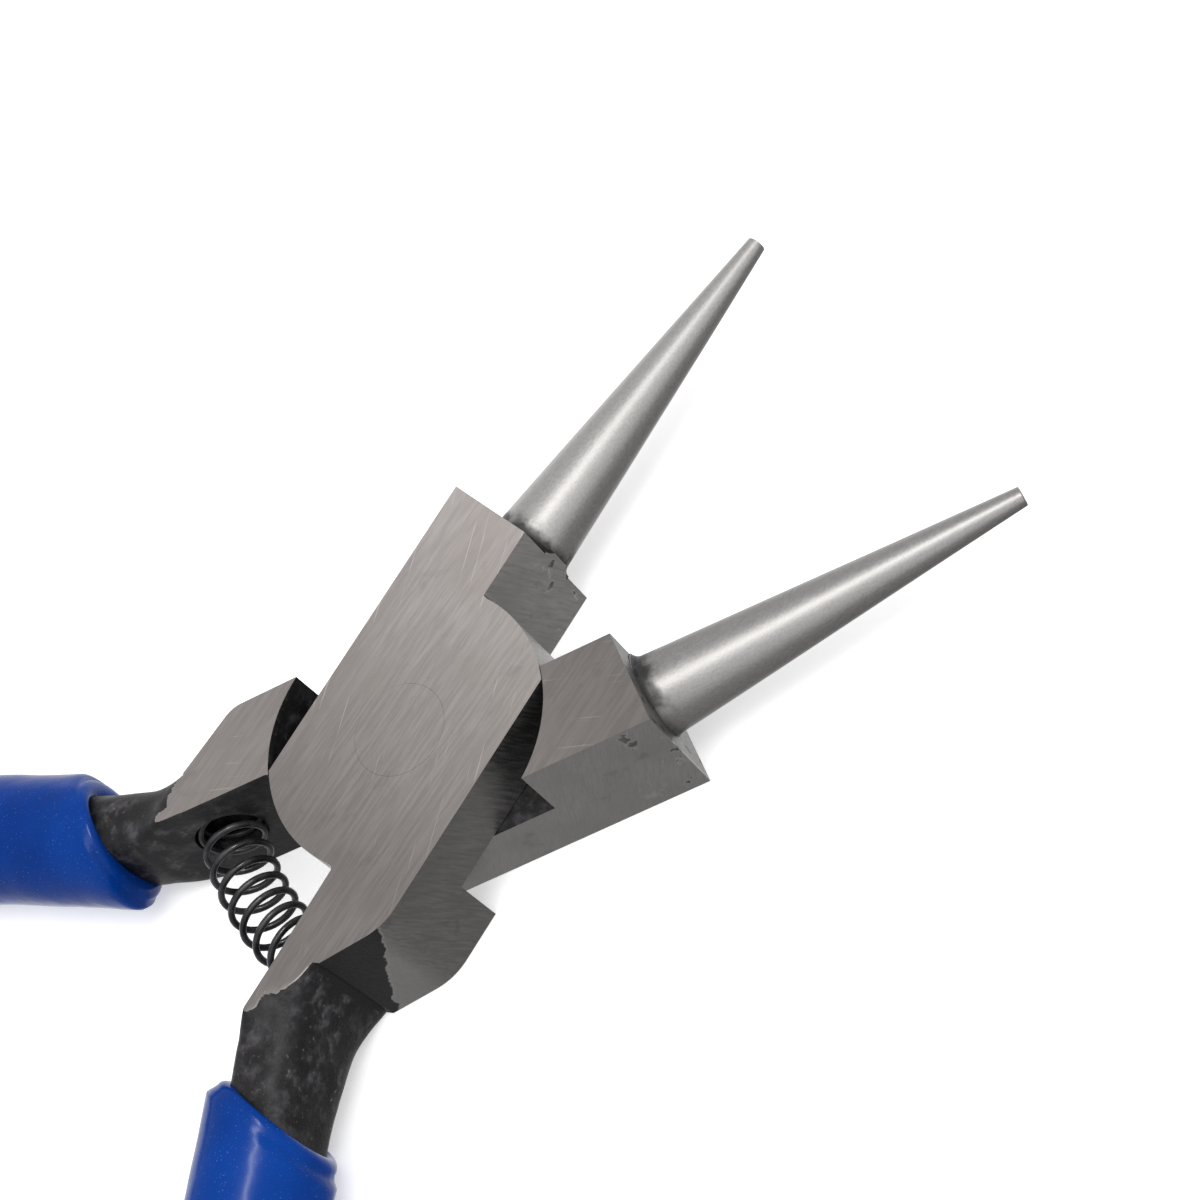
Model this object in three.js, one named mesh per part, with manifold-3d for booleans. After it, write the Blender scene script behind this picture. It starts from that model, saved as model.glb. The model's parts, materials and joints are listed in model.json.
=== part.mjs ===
// Round nose pliers for wire work: two lapped steel halves that turn on a flush rivet, a coil spring
// that pushes the handles apart, and a dipped grip on each handle.
// Millimetres. Z is the pivot axis and X points from the pivot to the jaws. The tool lies on z = 0,
// held open at rest. Each half is drawn closed, in a frame of its own: the pivot's middle is the origin,
// the jaw is on the +y side, the handle is on the -y side and its lap plate is above the middle plane.
// The back half is the same forging turned over.
import * as THREE from "three";
import { mergeVertices } from "three/addons/utils/BufferGeometryUtils.js";
import Module from "manifold-3d";

const wasm = await Module();
wasm.setup();

// Joint
const OPENING = THREE.MathUtils.degToRad(40);
const HALF_THICKNESS = 5;
const JAW_SIDE = 7.6;
const HANDLE_SIDE = 7.7;
const PLATE_RADIUS = 10.4;
const NOTCH_RADIUS = 10.75;
const LAP_PLAY = 0.1;
const RIVET_RADIUS = 2.5;
const RIVET_HEAD_RADIUS = 3.4;
const RIVET_HEAD_DEPTH = 1.2;
const RIVET_PLAY = 0.06;

// Jaw
const JAW_FACE = 0.2;
const BLOCK_END_INNER = 16;
const BLOCK_END_OUTER = 17;
const CONE_START = 16.3;
const CONE_END = 43.9;
const CONE_ROOT_RADIUS = 2.95;
const CONE_TIP_RADIUS = 0.7;
const CONE_FILLET = 0.7;
const CONE_TIP_CHAMFER = 0.12;
const CONE_PLAY = 0.04;
const CONE_BURY = 2;

// Handle
const INNER_FACE = 1.5;
const SHOULDER = new THREE.Vector2(-11.9, -HANDLE_SIDE);
const WAIST = new THREE.Vector2(-16.6, -4.4);
const GROUND_END = new THREE.Vector2(-19.6, -1.7);
const SHOULDER_ROUNDING = 1.3;
const TANG_HALF_THICKNESS = 4;
const TANG_ROUNDING = 1.3;
const TANG_NECK_HALF_WIDTH = 1.65;
const TANG_HALF_WIDTH = 2.7;
const TANG_LINE = [
  [-15.5, -3.05],
  [-18.5, -3.32],
  [-22, -4.0],
  [-25, -5.15],
  [-30, -7.55],
  [-35, -9.95],
  [-43, -13.2],
  [-53, -15.6],
  [-64, -16.1],
  [-75, -14.8],
  [-82, -13.4],
];

// Grip
const GRIP_HALF_WIDTH = 4.6;
const GRIP_HALF_HEIGHT = 5;
const GRIP_FIT = 0.3;
const GRIP_TIP = 4.2;
const FRONT_GRIP_LIP = -26.4;
const BACK_GRIP_LIP = -25.2;

// Spring
const SPRING_SEAT = -16.1;
const SEAT_RADIUS = 2.62;
const SEAT_DEPTH = 2;
const COIL_RADIUS = 2.2;
const WIRE_RADIUS = 0.25;
const SPRING_TURNS = 11.5;
const END_CLEARANCE = 0.1;

const GREY_STEEL = { color: 0x8c8681, metalness: 0.9, roughness: 0.38 };
const RIVET_STEEL = { color: 0x8a8480, metalness: 0.9, roughness: 0.36 };
const SPRING_STEEL = { color: 0x141312, metalness: 0.6, roughness: 0.25 };
const BLUE_PVC = { color: 0x0a3fae, metalness: 0, roughness: 0.22 };

const ROUND_SIDES = 48;
const ALONG_X = new THREE.Matrix4().makeRotationZ(-Math.PI / 2);
const ALONG_Z = new THREE.Matrix4().makeRotationX(Math.PI / 2);

const tangLine = new THREE.CatmullRomCurve3(TANG_LINE.map(([x, y]) => new THREE.Vector3(x, y, 0)));

function solid(geometry) {
  const bare = geometry.clone();
  bare.deleteAttribute("normal");
  bare.deleteAttribute("uv");
  const merged = mergeVertices(bare);
  const mesh = new wasm.Mesh({
    numProp: 3,
    vertProperties: merged.attributes.position.array,
    triVerts: new Uint32Array(merged.index.array),
  });
  return new wasm.Manifold(mesh);
}

function geometryOf(body) {
  const mesh = body.getMesh();
  const geometry = new THREE.BufferGeometry();
  geometry.setAttribute("position", new THREE.BufferAttribute(mesh.vertProperties, 3));
  geometry.setIndex(new THREE.BufferAttribute(mesh.triVerts, 1));
  geometry.computeVertexNormals();
  return geometry;
}

// A flat outline standing from one height to another, with sharp edges.
function slab(outline, bottom, top) {
  const geometry = new THREE.ExtrudeGeometry(outline, {
    depth: top - bottom,
    bevelEnabled: false,
    curveSegments: 10,
  });
  return solid(geometry.translate(0, 0, bottom));
}

function disc(radius, bottom, top) {
  const geometry = new THREE.CylinderGeometry(radius, radius, top - bottom, 2 * ROUND_SIDES);
  return solid(geometry.applyMatrix4(ALONG_Z).translate(0, 0, (bottom + top) / 2));
}

function box(low, high) {
  const size = high.map((value, i) => value - low[i]);
  const geometry = new THREE.BoxGeometry(...size);
  return solid(geometry.translate(...high.map((value, i) => (value + low[i]) / 2)));
}

// The jaw's block: straight sides, and an end face that leans outwards from the jaw face.
function jawBlock() {
  const outline = new THREE.Shape();
  outline.moveTo(0, JAW_FACE);
  outline.lineTo(BLOCK_END_INNER, JAW_FACE);
  outline.lineTo(BLOCK_END_OUTER, JAW_SIDE);
  outline.lineTo(0, JAW_SIDE);
  outline.closePath();
  return slab(outline, -HALF_THICKNESS, HALF_THICKNESS);
}

// The handle's ground block: it runs straight back to a rounded shoulder, then slants in to the waist.
function handleBlock() {
  const inward = WAIST.clone().sub(SHOULDER).setLength(SHOULDER_ROUNDING);
  const outline = new THREE.Shape();
  outline.moveTo(0, -INNER_FACE);
  outline.lineTo(0, -HANDLE_SIDE);
  outline.lineTo(SHOULDER.x + SHOULDER_ROUNDING, SHOULDER.y);
  outline.quadraticCurveTo(SHOULDER.x, SHOULDER.y, SHOULDER.x + inward.x, SHOULDER.y + inward.y);
  outline.lineTo(WAIST.x, WAIST.y);
  outline.lineTo(GROUND_END.x, GROUND_END.y);
  outline.closePath();
  return slab(outline, -HALF_THICKNESS, HALF_THICKNESS);
}

// Half the width of the tang, from its neck (0) to its end (1): it widens soon after the neck.
function tangHalfWidth(along) {
  const widening = THREE.MathUtils.smoothstep(along, 0.02, 0.14);
  return THREE.MathUtils.lerp(TANG_NECK_HALF_WIDTH, TANG_HALF_WIDTH, widening);
}

// The tang, seen from the front: a ribbon along its centre line with a round end.
function tangOutline(growth) {
  const steps = 26;
  const endSteps = 6;
  const left = [];
  const right = [];
  for (let i = 0; i <= steps; i++) {
    const along = i / steps;
    const centre = tangLine.getPointAt(along);
    const tangent = tangLine.getTangentAt(along);
    const width = tangHalfWidth(along) + growth;
    left.push(new THREE.Vector2(centre.x - tangent.y * width, centre.y + tangent.x * width));
    right.push(new THREE.Vector2(centre.x + tangent.y * width, centre.y - tangent.x * width));
  }
  const end = tangLine.getPointAt(1);
  const tangent = tangLine.getTangentAt(1);
  const endRadius = TANG_HALF_WIDTH + growth;
  const round = [];
  for (let i = 1; i < endSteps; i++) {
    const turn = (i / endSteps) * Math.PI;
    const side = Math.cos(turn) * endRadius;
    const ahead = Math.sin(turn) * endRadius;
    round.push(
      new THREE.Vector2(
        end.x - tangent.y * side + tangent.x * ahead,
        end.y + tangent.x * side + tangent.y * ahead,
      ),
    );
  }
  return new THREE.Shape([...left, ...round, ...right.reverse()]);
}

// The forged tang, with its edges rounded; growth makes the same shape larger all round.
function tang(growth) {
  const rounding = TANG_ROUNDING + growth;
  const halfThickness = TANG_HALF_THICKNESS + growth;
  const geometry = new THREE.ExtrudeGeometry(tangOutline(growth), {
    depth: 2 * (halfThickness - rounding),
    bevelEnabled: true,
    bevelThickness: rounding,
    bevelSize: rounding,
    bevelOffset: -rounding,
    bevelSegments: 3,
    curveSegments: 4,
  });
  return solid(geometry.translate(0, 0, rounding - halfThickness));
}

// The round jaw: a cone with a fillet at its root and a tip cut flat. Its inner edge is parallel to the
// plane where the two jaws meet, and the fillet is cut off short of that plane.
function cone() {
  const length = CONE_END - CONE_START;
  const profile = [new THREE.Vector2(0, -CONE_BURY)];
  profile.push(new THREE.Vector2(CONE_ROOT_RADIUS + CONE_FILLET / 2, -CONE_BURY));
  const filletSteps = 4;
  for (let i = 0; i <= filletSteps; i++) {
    const turn = (i / filletSteps) * (Math.PI / 2);
    const out = CONE_FILLET * (1 - Math.sin(turn)) * 0.5;
    profile.push(new THREE.Vector2(CONE_ROOT_RADIUS + out, CONE_FILLET * (1 - Math.cos(turn))));
  }
  profile.push(new THREE.Vector2(CONE_TIP_RADIUS, length - CONE_TIP_CHAMFER));
  profile.push(new THREE.Vector2(CONE_TIP_RADIUS - CONE_TIP_CHAMFER, length));
  profile.push(new THREE.Vector2(0, length));
  const geometry = new THREE.LatheGeometry(profile, ROUND_SIDES);
  geometry.applyMatrix4(ALONG_X);
  const lean = Math.asin((CONE_ROOT_RADIUS - CONE_TIP_RADIUS) / length);
  const rootHeight = (CONE_ROOT_RADIUS + CONE_PLAY) / Math.cos(lean);
  const beyondPlane = box([0, -HALF_THICKNESS, -HALF_THICKNESS], [CONE_END, CONE_PLAY, HALF_THICKNESS]);
  return solid(geometry.rotateZ(-lean).translate(CONE_START, rootHeight, 0)).subtract(beyondPlane);
}

// The rivet and, with play, the hole that it turns in: a shaft with a countersunk head at each face.
function rivet(play) {
  const reach = HALF_THICKNESS + (play > 0 ? 1 : 0);
  const headRadius = RIVET_HEAD_RADIUS + play;
  const shaftRadius = RIVET_RADIUS + play;
  const shaftReach = HALF_THICKNESS - RIVET_HEAD_DEPTH;
  const profile = [
    [0, -reach],
    [headRadius, -reach],
    [headRadius, -HALF_THICKNESS],
    [shaftRadius, -shaftReach],
    [shaftRadius, shaftReach],
    [headRadius, HALF_THICKNESS],
    [headRadius, reach],
    [0, reach],
  ];
  const distinct = profile.filter((point, i) => i === 0 || String(point) !== String(profile[i - 1]));
  const geometry = new THREE.LatheGeometry(distinct.map(([r, z]) => new THREE.Vector2(r, z)), ROUND_SIDES);
  return solid(geometry.applyMatrix4(ALONG_Z));
}

// The blind hole in the handle's inner face that holds one end of the spring.
function springSeat() {
  const geometry = new THREE.CylinderGeometry(SEAT_RADIUS, SEAT_RADIUS, 2 * SEAT_DEPTH, ROUND_SIDES);
  return solid(geometry.translate(SPRING_SEAT, -INNER_FACE, 0));
}

// One half: jaw, lap plate and handle in one forging.
function forging() {
  const lap = LAP_PLAY / 2;
  const plate = disc(PLATE_RADIUS, lap, HALF_THICKNESS).intersect(
    box([-PLATE_RADIUS, -HANDLE_SIDE, 0], [PLATE_RADIUS, JAW_SIDE, HALF_THICKNESS]),
  );
  return jawBlock()
    .add(handleBlock())
    .add(tang(0))
    .subtract(disc(NOTCH_RADIUS, -2 * HALF_THICKNESS, lap))
    .add(plate)
    .add(cone())
    .subtract(rivet(RIVET_PLAY))
    .subtract(springSeat());
}

// The dipped grip: an oval sleeve along the tang, closed by a dome at the end and open at its lip.
function grip(lip) {
  const oval = new THREE.Shape();
  oval.absellipse(0, 0, GRIP_HALF_HEIGHT, GRIP_HALF_WIDTH, 0, 2 * Math.PI);
  const sleeve = new THREE.ExtrudeGeometry(oval, {
    extrudePath: tangLine,
    steps: 30,
    curveSegments: 12,
    bevelEnabled: false,
  });
  const end = tangLine.getPointAt(1);
  const tangent = tangLine.getTangentAt(1);
  const dome = new THREE.SphereGeometry(1, 24, 16)
    .scale(GRIP_TIP, GRIP_HALF_WIDTH, GRIP_HALF_HEIGHT)
    .rotateZ(Math.atan2(tangent.y, tangent.x))
    .translate(end.x, end.y, 0);
  const beyondLip = box([lip, -20, -10], [0, 20, 10]);
  return solid(sleeve).add(solid(dome)).subtract(tang(GRIP_FIT)).subtract(beyondLip);
}

// How far along its line the wire has come after a number of turns: one closed turn at each end, and an
// even pitch between them.
function springProgress(turns, lineLength) {
  const closedPitch = (2 * WIRE_RADIUS + END_CLEARANCE) / lineLength;
  const openPitch = (1 - 2 * closedPitch) / (SPRING_TURNS - 2);
  const open = THREE.MathUtils.clamp(turns - 1, 0, SPRING_TURNS - 2);
  return (turns - open) * closedPitch + open * openPitch;
}

// The spring's line leaves each seat square to the handle's inner face and bows back between them.
function springLine() {
  const depth = INNER_FACE + SEAT_DEPTH - WIRE_RADIUS - END_CLEARANCE;
  const upright = new THREE.Vector3(0, 0, 1);
  const front = new THREE.Vector3(SPRING_SEAT, -depth, 0).applyAxisAngle(upright, OPENING / 2);
  const outward = new THREE.Vector3(0, 1, 0).applyAxisAngle(upright, OPENING / 2);
  const back = new THREE.Vector3(front.x, -front.y, 0);
  const reach = (back.y - front.y) / 3 / Math.cos(OPENING / 2);
  const frontHandle = front.clone().addScaledVector(outward, reach);
  const backHandle = new THREE.Vector3(frontHandle.x, -frontHandle.y, 0);
  return new THREE.CubicBezierCurve3(front, frontHandle, backHandle, back);
}

class CoilCurve extends THREE.Curve {
  constructor(line) {
    super();
    this.line = line;
    this.lineLength = line.getLength();
  }

  getPoint(t, target = new THREE.Vector3()) {
    const turns = t * SPRING_TURNS;
    const progress = THREE.MathUtils.clamp(springProgress(turns, this.lineLength), 0, 1);
    const centre = this.line.getPointAt(progress);
    const tangent = this.line.getTangentAt(progress);
    const turn = 2 * Math.PI * turns;
    const side = COIL_RADIUS * Math.cos(turn);
    return target.set(
      centre.x - tangent.y * side,
      centre.y + tangent.x * side,
      COIL_RADIUS * Math.sin(turn),
    );
  }
}

function spring() {
  const wire = new THREE.Shape();
  wire.absarc(0, 0, WIRE_RADIUS, 0, 2 * Math.PI);
  return new THREE.ExtrudeGeometry(wire, {
    extrudePath: new CoilCurve(springLine()),
    steps: Math.round(SPRING_TURNS * 12),
    curveSegments: 3,
    bevelEnabled: false,
  });
}

function piece(name, geometry, finish) {
  const mesh = new THREE.Mesh(geometry, new THREE.MeshStandardMaterial(finish));
  mesh.name = name;
  return mesh;
}

const frontHalf = new THREE.Group();
frontHalf.rotation.z = OPENING / 2;
frontHalf.add(piece("front_half", geometryOf(forging()), GREY_STEEL));
frontHalf.add(piece("front_grip", geometryOf(grip(FRONT_GRIP_LIP)), BLUE_PVC));

const turnedOver = new THREE.Group();
turnedOver.rotation.x = Math.PI;
turnedOver.add(piece("back_half", geometryOf(forging()), GREY_STEEL));
turnedOver.add(piece("back_grip", geometryOf(grip(BACK_GRIP_LIP)), BLUE_PVC));
const backHalf = new THREE.Group();
backHalf.rotation.z = -OPENING / 2;
backHalf.add(turnedOver);

const pliers = new THREE.Group();
pliers.name = "round_nose_pliers";
pliers.position.z = HALF_THICKNESS;
pliers.add(frontHalf, backHalf);
pliers.add(piece("rivet", geometryOf(rivet(0)), RIVET_STEEL));
pliers.add(piece("return_spring", spring(), SPRING_STEEL));

export default pliers;
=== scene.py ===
# %% [markdown]
# # Round nose pliers
# These pliers are two lapped steel forgings that turn on a rivet, a coil spring that pushes their handles
# apart, and a dipped plastic grip on each handle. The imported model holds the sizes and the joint. The cells
# below rebuild each piece with a finer surface around that frame and give it a finish.

# %% The frame and the tools
import json
import math

import bmesh
import bpy
import numpy as np
from mathutils import Matrix, Vector


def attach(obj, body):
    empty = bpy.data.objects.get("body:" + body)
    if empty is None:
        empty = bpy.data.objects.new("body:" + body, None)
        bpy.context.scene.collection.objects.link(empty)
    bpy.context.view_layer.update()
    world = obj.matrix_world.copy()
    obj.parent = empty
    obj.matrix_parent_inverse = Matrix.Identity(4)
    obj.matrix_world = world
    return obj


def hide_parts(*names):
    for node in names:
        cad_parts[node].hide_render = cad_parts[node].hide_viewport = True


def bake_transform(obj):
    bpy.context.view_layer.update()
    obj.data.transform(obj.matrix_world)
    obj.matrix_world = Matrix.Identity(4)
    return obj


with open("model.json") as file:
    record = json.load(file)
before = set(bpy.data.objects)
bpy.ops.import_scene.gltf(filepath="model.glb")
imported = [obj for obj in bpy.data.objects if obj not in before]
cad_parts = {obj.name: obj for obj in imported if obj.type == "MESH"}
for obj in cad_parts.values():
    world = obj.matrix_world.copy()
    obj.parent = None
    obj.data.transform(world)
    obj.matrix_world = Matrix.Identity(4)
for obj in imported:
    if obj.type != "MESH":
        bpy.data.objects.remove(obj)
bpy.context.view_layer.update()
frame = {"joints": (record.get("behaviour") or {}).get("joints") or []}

MM = 0.001
joint = frame["joints"][0]
OPEN_ANGLE = math.radians(joint["range_deg"][1] - joint["range_deg"][0])
PIVOT = np.array(joint["pos_m"]) / MM
print("The joint opens", round(math.degrees(OPEN_ANGLE)), "degrees about", PIVOT, "mm")

# %% [markdown]
# ## Where each half is drawn
# Both halves are the same forging. Each is drawn closed in millimetres, in a frame of its own: the middle of
# the joint is the origin, the jaw is on the +y side and the handle is on the -y side. The front half is then
# turned by half the opening. The back half is turned over first, so its lap plate lies below the middle.
# Keeping one drawing and placing it twice is how such a tool is made, from one die.

# %% Placing a drawn half
PLACES = {
    "front_half": Matrix.Rotation(OPEN_ANGLE / 2, 4, "Z"),
    "back_half": Matrix.Rotation(-OPEN_ANGLE / 2, 4, "Z") @ Matrix.Rotation(math.pi, 4, "X"),
}


def placed(points, body):
    """Drawing points in millimetres, in the shared frame in metres: turned, then lifted to the pivot."""
    turn = np.array(PLACES[body].to_3x3())
    return (points @ turn.T + PIVOT) * MM


# %% [markdown]
# ## Camera
# A long lens close to the joint looks down across the tool. Its tilt and roll set the picture's diagonal, so
# they are kept as plain angles and a distance rather than as a matrix.

# %% Camera
CAMERA_PLACE = Vector((20.158, -110.204, 147.607)) * MM
CAMERA_TARGET = Vector((15.735, 0.838, 5.0)) * MM
CAMERA_ROLL = math.radians(43.256)
camera = bpy.data.objects.new("camera", bpy.data.cameras.new("camera"))
bpy.context.scene.collection.objects.link(camera)
camera.data.sensor_width = 36
camera.data.lens = 79.07
camera.data.clip_start = 0.01
aim = (CAMERA_TARGET - CAMERA_PLACE).to_track_quat("-Z", "Y").to_matrix()
camera.matrix_world = Matrix.Translation(CAMERA_PLACE) @ (aim @ Matrix.Rotation(-CAMERA_ROLL, 3, "Z")).to_4x4()
bpy.context.scene.camera = camera
print("The camera stands", round((CAMERA_TARGET - CAMERA_PLACE).length / MM), "mm from the joint")

# %% [markdown]
# ## Mesh helpers
# Every new surface here is a stack of rings: a profile carried along a path. A helper skins such a stack,
# and closes both ends. A second helper keeps the modifiers' work as plain mesh, so what follows can measure it.

# %% Rings to a mesh
def skin(name, rings):
    """A closed mesh over rings[i, j]: quads join neighbours on one ring to those on the next, and one flat
    face closes each end. Normals are recalculated to point outwards."""
    count, around = rings.shape[:2]
    index = np.arange(count * around).reshape(count, around)
    ahead = np.roll(index, -1, axis=1)
    quads = np.stack([index[:-1], ahead[:-1], ahead[1:], index[1:]], axis=-1).reshape(-1, 4)
    faces = quads.tolist() + [index[0, ::-1].tolist(), index[-1].tolist()]
    mesh = bpy.data.meshes.new(name)
    mesh.from_pydata(rings.reshape(-1, 3).tolist(), [], faces)
    piece = bpy.data.objects.new(name, mesh)
    bpy.context.scene.collection.objects.link(piece)
    face_outwards(mesh)
    return piece


def face_outwards(mesh):
    """Turns the faces of a closed mesh so that all of them look out."""
    work = bmesh.new()
    work.from_mesh(mesh)
    bmesh.ops.recalc_face_normals(work, faces=work.faces)
    work.to_mesh(mesh)
    work.free()


def settle(piece):
    """Replaces the piece's mesh by what its modifiers make of it, and removes them."""
    seen = piece.evaluated_get(bpy.context.evaluated_depsgraph_get())
    mesh = bpy.data.meshes.new_from_object(seen)
    piece.modifiers.clear()
    piece.data = mesh
    return piece


def combine(piece, tool, operation):
    """Joins or cuts two closed meshes, and deletes the tool."""
    change = piece.modifiers.new("combine", "BOOLEAN")
    change.operation = operation
    change.solver = "MANIFOLD"
    change.object = tool
    settle(piece)
    bpy.data.objects.remove(tool)
    return piece


def vertices(piece):
    """The piece's vertices as an array with a row for each."""
    points = np.empty(len(piece.data.vertices) * 3)
    piece.data.vertices.foreach_get("co", points)
    return points.reshape(-1, 3)


def move_vertices(piece, points):
    """Writes an array of places back to the piece's vertices."""
    piece.data.vertices.foreach_set("co", np.asarray(points, np.float32).ravel())
    piece.data.update()


def unevenness(points, seed, wavelength, octaves=3):
    """A smooth random height from -1 to 1 at each point: sine waves in seeded random directions, each octave
    half as long and half as high as the one before."""
    draw = np.random.default_rng(seed)
    total = np.zeros(len(points))
    for octave in range(octaves):
        directions = draw.normal(size=(6, 3))
        directions /= np.linalg.norm(directions, axis=1, keepdims=True)
        phases = draw.uniform(0, 2 * math.pi, 6)
        waves = np.sin(points @ directions.T * (2 * math.pi * 2**octave / wavelength) + phases)
        total += waves.mean(axis=1) / 2**octave
    return total


def arc(centre, radius, start, end, steps):
    """Points along an arc: angles in degrees, evenly spaced from start to end."""
    turn = np.radians(np.linspace(start, end, steps))
    return np.stack([centre[0] + radius * np.cos(turn), centre[1] + radius * np.sin(turn)], axis=1)


# %% [markdown]
# ## The forging: block and lap plate
# The middle of each half is one flat outline, ground on both faces and both sides: the jaw's block, the round
# lap plate, and the handle's block with its slanted shoulder. A lathe or a subdivision surface would soften
# its crisp corners, so the outline is stood up as a straight wall, the round notch for the other half's plate
# is cut out of it, and a narrow bevel breaks the edges afterwards, as a grinder does.

# %% The outline's sizes, in millimetres in the drawing
HALF_THICKNESS = 5
JAW_SIDE = 7.6
HANDLE_SIDE = 7.75
PLATE_RADIUS = 10.68
NOTCH_RADIUS = 10.74
REAR_PLATE_RADIUS = 10.14
REAR_NOTCH_RADIUS = 10.22
JAW_FACE = 0.2
BLOCK_END_INNER = 16
BLOCK_END_OUTER = 17
LAP = 0.04
HANDS = {
    "front_half": {
        "inner": -1.62, "shoulder": (-11.8, -HANDLE_SIDE), "rounding": 1.5, "waist": (-15.9, -5.0),
        "end": (-20.4, -2.3),
    },
    "back_half": {
        "inner": -1.35, "shoulder": (-11.9, -HANDLE_SIDE), "rounding": 0.8, "waist": (-16.5, -4.45),
        "end": (-19.5, -1.35),
    },
}
EDGE_BREAK = 0.09


def block_outline(hand):
    """The ground outline, anticlockwise from the jaw face's far corner: straight sides, the plate's arc on
    either side of the joint, and a small round where the shoulder turns in to the waist."""
    side = math.degrees(math.asin(JAW_SIDE / REAR_PLATE_RADIUS))
    low = math.degrees(math.asin(HANDLE_SIDE / PLATE_RADIUS))
    inner = hand["inner"]
    root = math.degrees(math.asin(-(inner + 0.55) / REAR_PLATE_RADIUS))
    shoulder = np.array(hand["shoulder"])
    waist = np.array(hand["waist"])
    inward = (waist - shoulder) / np.linalg.norm(waist - shoulder)
    bend = np.linspace(0, 1, 17)[:, None]
    before = shoulder + (hand["rounding"], 0)
    after = shoulder + hand["rounding"] * inward
    rounded = (1 - bend) ** 2 * after + 2 * bend * (1 - bend) * shoulder + bend**2 * before
    fillet = arc((-REAR_PLATE_RADIUS - 0.32, inner + 0.42), 0.42, -18, -90, 6)
    return np.concatenate([
        [(BLOCK_END_INNER, JAW_FACE), (BLOCK_END_OUTER, JAW_SIDE)],
        arc((0, 0), REAR_PLATE_RADIUS, 180 - side, 180 + root, 56),
        fillet,
        [(-14.5, inner - 0.06), (-17.2, inner - 0.12)],
        [waist],
        rounded,
        arc((0, 0), PLATE_RADIUS, -low, -1, 44),
        [(PLATE_RADIUS + 0.12, JAW_FACE)],
    ])


def wall(name, outline, bottom, top):
    """A straight wall over a flat outline: two rings, one at each height."""
    heights = np.array([bottom, top])
    rings = np.empty((2, len(outline), 3))
    rings[..., :2] = outline
    rings[..., 2] = heights[:, None]
    return skin(name, rings)


def notch():
    """The cutter for the other half's plate: two half circles, wider on the jaw's side of the joint."""
    outline = np.concatenate([
        arc((0, 0), NOTCH_RADIUS, -90, 90, 90),
        arc((0, 0), REAR_NOTCH_RADIUS, 90, 270, 90),
    ])
    return wall("notch", outline, -2 * HALF_THICKNESS, LAP)


# %% [markdown]
# ## The forging: the shank
# Behind the block the forging is left as it came from the die. It is a tapering bar with a flat inner side and
# a rounded outer side, and it swells where it runs into the ground block. A bar like that is a section carried
# along a curved line. Where the section would rise above the ground face it is held down to it, which gives
# the slanting edge between bright and black that grinding leaves.

# %% The shank
SHANK_LINE = np.array([
    (-13.2, -3.05), (-15.5, -3.1), (-18.5, -3.35), (-22, -4.0), (-25, -5.15), (-30, -7.55), (-35, -9.95),
    (-43, -13.2), (-53, -15.6), (-64, -16.1), (-75, -14.8), (-82, -13.4),
])
SHANK_HALF_HEIGHT = 3.85
SHANK_AROUND = 96


def smoothstep(low, high, value):
    """0 below low, 1 above high, and a smooth S between them."""
    share = np.clip((value - low) / (high - low), 0, 1)
    return share * share * (3 - 2 * share)


def spline(points, per_span):
    """A Catmull-Rom curve through the points: cubic spans whose slope at each point is half the step between
    its neighbours."""
    padded = np.concatenate([2 * points[:1] - points[1:2], points, 2 * points[-1:] - points[-2:-1]])
    t = np.linspace(0, 1, per_span, endpoint=False)[None, :, None]
    a, b, c, d = (padded[i:len(padded) - 3 + i, None] for i in range(4))
    curve = 0.5 * (2 * b + (c - a) * t + (2 * a - 5 * b + 4 * c - d) * t**2 + (3 * b - a - 3 * c + d) * t**3)
    return np.concatenate([curve.reshape(-1, points.shape[1]), points[-1:]])


def evenly(line, spacing):
    """The same line with its points at an even spacing along it."""
    along = np.concatenate([[0], np.cumsum(np.linalg.norm(np.diff(line, axis=0), axis=1))])
    wanted = np.linspace(0, along[-1], int(along[-1] / spacing) + 1)
    return np.stack([np.interp(wanted, along, line[:, k]) for k in range(line.shape[1])], axis=1)


def across(line):
    """Unit directions along a flat line and square to it, to the left."""
    forward = np.gradient(line, axis=0)
    forward /= np.linalg.norm(forward, axis=1, keepdims=True)
    return forward, np.stack([-forward[:, 1], forward[:, 0]], axis=1)


def shank_section(line, hand):
    """Rings of the bar: a rounded section at each point of the line. Its outer side is round and its inner
    side is flat near the joint. Its height rises towards the slanting edge of the ground face."""
    x = line[:, :1]
    turn = np.linspace(0, 2 * math.pi, SHANK_AROUND, endpoint=False)[None, :]
    side, up = np.cos(turn), np.sin(turn)
    inner = side < 0
    flat = smoothstep(-22.5, -17.5, x)
    power = np.where(inner, 2 / (3.6 + 10 * flat), 2 / (3.0 + 1.5 * smoothstep(-20, -17, x)))
    width = 1.7 + 0.9 * smoothstep(-17, -23, x)
    offset = width * np.sign(side) * np.abs(side) ** power
    forward, left = across(line)
    rings = np.empty((len(line), SHANK_AROUND, 3))
    # The line runs backwards, so its left is the outer side of the handle.
    rings[..., :2] = line[:, None] + left[:, None] * offset[..., None]
    inside = hand["inner"] - 0.12
    straight = inside + 4.0 * smoothstep(-22.0, -30.0, x)
    rings[..., 1] = np.minimum(rings[..., 1], np.broadcast_to(straight, rings.shape[:2]))
    waist, end = np.array(hand["waist"]), np.array(hand["end"])
    edge = (end - waist) / np.linalg.norm(end - waist)
    beyond = (rings[..., :2] - waist) @ np.array((-edge[1], edge[0]))
    height = SHANK_HALF_HEIGHT + 1.3 * np.exp(-np.maximum(beyond, -2.5) / 1.9)
    rings[..., 2] = height * np.sign(up) * np.abs(up) ** (power * 0.9)
    return rings


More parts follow.
